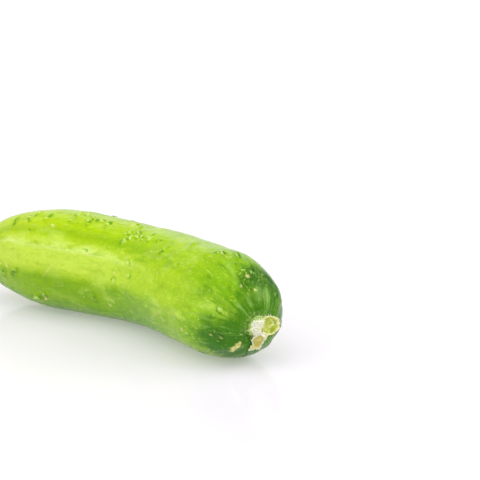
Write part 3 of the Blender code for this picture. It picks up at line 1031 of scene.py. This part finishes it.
def build_strip():
    """A ragged sheet that runs down over the skin from under the neck, then gets its thickness."""
    rows = []
    edge = []
    for r in range(STRIP_ROWS + 1):
        down = r / STRIP_ROWS
        row = []
        for c in range(STRIP_COLUMNS + 1):
            side = c / STRIP_COLUMNS * 2 - 1
            wide = 0.72 + 0.34 * sin(pi * min(down * 1.1 + 0.2, 1) * 0.95)
            notch = 0.34 * np.exp(-(((down - 0.52) / 0.13) ** 2)) * (side < 0)
            fray = noise.noise(Vector((side * 2.0, down * 9.0, 1.7 if side < 0 else 5.2)))
            reach = side * (wide - notch + 0.16 * fray) * STRIP_WIDTH / 2
            frayed_end = 1 + 0.14 * noise.noise(Vector((side * 3.0, 2.0, 8.0)))
            drop = down * STRIP_LENGTH * frayed_end
            curl = 0.9 * max(abs(side) - 0.62, 0) ** 1.4 * 2.2 + 0.5 * max(down - 0.8, 0) * 2
            wave = 0.25 * noise.noise(Vector((side * 1.6, down * 2.6, 3.0)))
            row.append((reach, drop, STRIP_CLEAR + curl + wave))
            edge.append(max(eased((abs(side) - 0.55) / 0.4), eased((down - 0.82) / 0.16)))
        rows.append(row)
    points = np.array(rows).reshape(-1, 3)
    # Down from the neck's underside and over the stem dome, drawn in towards the surface.
    local = np.zeros_like(points)
    local[:, 0] = points[:, 0] - STRIP_ASIDE - 0.12 * points[:, 1]
    local[:, 1] = STRIP_START * STUB_DIAMETER * 500 - points[:, 1]
    clear = 2.9 * np.exp(-points[:, 1] / 1.5)
    reach = np.hypot(local[:, 0], local[:, 1])
    share = np.clip((reach - SEAT_RADIUS * 1000) / ((SHOULDER_RADIUS - SEAT_RADIUS) * 1000), 0, 1)
    depth = STEM_DOME * 1000 * (1 - (1 - share**STEM_POWER) ** (1 / STEM_POWER))
    local[:, 2] = clear - depth + points[:, 2]
    local[:, 1] += STUB_LEAN * clear
    count = STRIP_COLUMNS + 1
    corners = (r * count + c for r in range(STRIP_ROWS) for c in range(STRIP_COLUMNS))
    faces = [(i, i + 1, i + count + 1, i + count) for i in corners]
    mesh = bpy.data.meshes.new("torn_rind_strip")
    mesh.from_pydata([tuple(p) for p in on_seat(local / 1000)], [], faces)
    keep(mesh, "edge", np.array(edge))
    mesh.update()
    return mesh


strip = smooth_piece("torn_rind_strip", build_strip(), strip_material)
thick = strip.modifiers.new("thickness", "SOLIDIFY")
thick.thickness = STRIP_THICKNESS
thick.offset = 0
settle(strip, thick)
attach(strip, "root")
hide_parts("stem_stub")

tree, shader, place = shader_of(strip_material)
grain = centred_noise(tree, place, 1100.0, detail=3.0, distortion=0.8)
blotch = centred_noise(tree, place, 420.0)
edge = attribute(tree, "edge")
colour = mixed(tree, (blotch + grain * 0.5).between(-0.14, 0.14), RIND_GOLD, RIND_STRAW)
colour = mixed(tree, grain.between(0.1, 0.3) * 0.5, colour, RIND_GRAIN)
colour = mixed(tree, (edge + grain * 0.9).between(0.45, 0.95), colour, RIND_EDGE)
bump = add(tree, "ShaderNodeBump", {"Strength": 0.6, "Distance": 0.0002, "Height": grain})
set_finish(tree, shader, {
    "Base Color": colour,
    "Roughness": 0.3,
    "Normal": bump,
    "Subsurface Weight": 0.5,
    "Subsurface Radius": (0.8, 1.0, 0.4),
    "Subsurface Scale": 0.0015,
})

# ---------------------------- table, light, camera
# A glossy white table in a white studio: a lit wall behind, a glow from the near left, a softbox on
# the right and soft light from the ceiling. None of it is part of the fruit.

TABLE_REACH = 4
TABLE_WHITE = (0.665, 0.625, 0.685, 1)
corners = [(x * TABLE_REACH, y * TABLE_REACH, 0) for x, y in ((-1, -1), (1, -1), (1, 1), (-1, 1))]
floor_mesh = bpy.data.meshes.new("table")
floor_mesh.from_pydata(corners, [], [(0, 1, 2, 3)])
floor = new_object("table", floor_mesh)
acrylic = bpy.data.materials.new("white_acrylic")
tree, shader = shader_of(acrylic)[:2]
set_finish(tree, shader, {
    "Base Color": TABLE_WHITE,
    "Roughness": 0.13,
    "Specular IOR Level": 0.2,
    "Emission Color": (1, 1, 1, 1),
    "Emission Strength": 0.25,
})
floor_mesh.materials.append(acrylic)

CAMERA_AZIMUTH = radians(42.07)
CAMERA_ELEVATION = radians(13.61)
CAMERA_DISTANCE = 0.6125
LENS = 105.94
LOOK_AT = Vector((-0.0576, 0.1168, -0.0003))
FORWARD = Vector((-sin(CAMERA_AZIMUTH), cos(CAMERA_AZIMUTH), 0))
RIGHT = Vector((cos(CAMERA_AZIMUTH), sin(CAMERA_AZIMUTH), 0))

WALL_LIGHT = 0.92
ROOM_LIGHT = 0.36
LEFT_LIGHT = 0.9
RIGHT_LIGHT = 4.0
CEILING_LIGHT = 2.0
BACKDROP = 1.3  # what the camera itself sees behind the table
world = bpy.data.worlds.new("studio")
bpy.context.scene.world = world
world.use_nodes = True
tree = world.node_tree
sky = add(tree, "ShaderNodeTexCoord", output="Generated")
high = sky.part(2)
behind = sky.dot(FORWARD)
beside = sky.dot(RIGHT)
wall = behind.between(0.5, 0.8) * (1 - high.between(0.42, 0.62)) * (1 - beside.between(0.2, 0.5))
left_side = (-FORWARD * 0.42 - RIGHT * 0.88 + UP * 0.2).normalized()
left = sky.dot(left_side).between(0.68, 0.92)
# The room is darker low down on the right.
dark_corner = beside.between(0.2, 0.6) * (1 - high.between(0.25, 0.5))
room = ROOM_LIGHT * (1 - dark_corner * 0.8)
glow = wall * (WALL_LIGHT - ROOM_LIGHT) + left * LEFT_LIGHT + room
seen = add(tree, "ShaderNodeLightPath", output="Is Camera Ray")
glow = glow.math("MAXIMUM", seen * BACKDROP)
tree.nodes["Background"].inputs["Color"].default_value = (1, 1, 1, 1)
tree.links.new(glow.socket, tree.nodes["Background"].inputs["Strength"])

MIDDLE = Vector((0, 0, 0.02))
SOFTBOX_TURN = radians(85)  # from the camera's side towards its right
SOFTBOX_ELEVATION = radians(34)
SOFTBOX_DISTANCE = 1.0
SOFTBOX_WIDTH = 0.9
SOFTBOX_HEIGHT = 0.45


def aimed(name, data, direction, place=(0, 0, 0)):
    """Puts a light or the camera in the scene, looking back along a direction."""
    made = new_object(name, data)
    made.location = place
    made.rotation_euler = direction.to_track_quat("Z", "Y").to_euler()
    return made


level = -FORWARD * cos(SOFTBOX_TURN) + RIGHT * sin(SOFTBOX_TURN)
direction = (level * cos(SOFTBOX_ELEVATION) + UP * sin(SOFTBOX_ELEVATION)).normalized()
softbox = bpy.data.lights.new("softbox_right", "AREA")
softbox.shape = "RECTANGLE"
softbox.size = SOFTBOX_WIDTH
softbox.size_y = SOFTBOX_HEIGHT
softbox.energy = RIGHT_LIGHT * pi * SOFTBOX_WIDTH * SOFTBOX_HEIGHT
aimed("softbox_right", softbox, direction, MIDDLE + direction * SOFTBOX_DISTANCE)

ceiling_light = bpy.data.lights.new("ceiling", "SUN")
ceiling_light.energy = CEILING_LIGHT
ceiling_light.angle = radians(110)
ceiling = aimed("ceiling", ceiling_light, UP - FORWARD * 0.6 - RIGHT * 0.25)
ceiling.visible_glossy = False

back = -FORWARD * cos(CAMERA_ELEVATION) + UP * sin(CAMERA_ELEVATION)
lens = bpy.data.cameras.new("camera")
lens.sensor_width = 36
lens.lens = LENS
camera = aimed("camera", lens, back, LOOK_AT + back * CAMERA_DISTANCE)
bpy.context.scene.camera = camera
bpy.context.scene.view_settings.view_transform = "Standard"
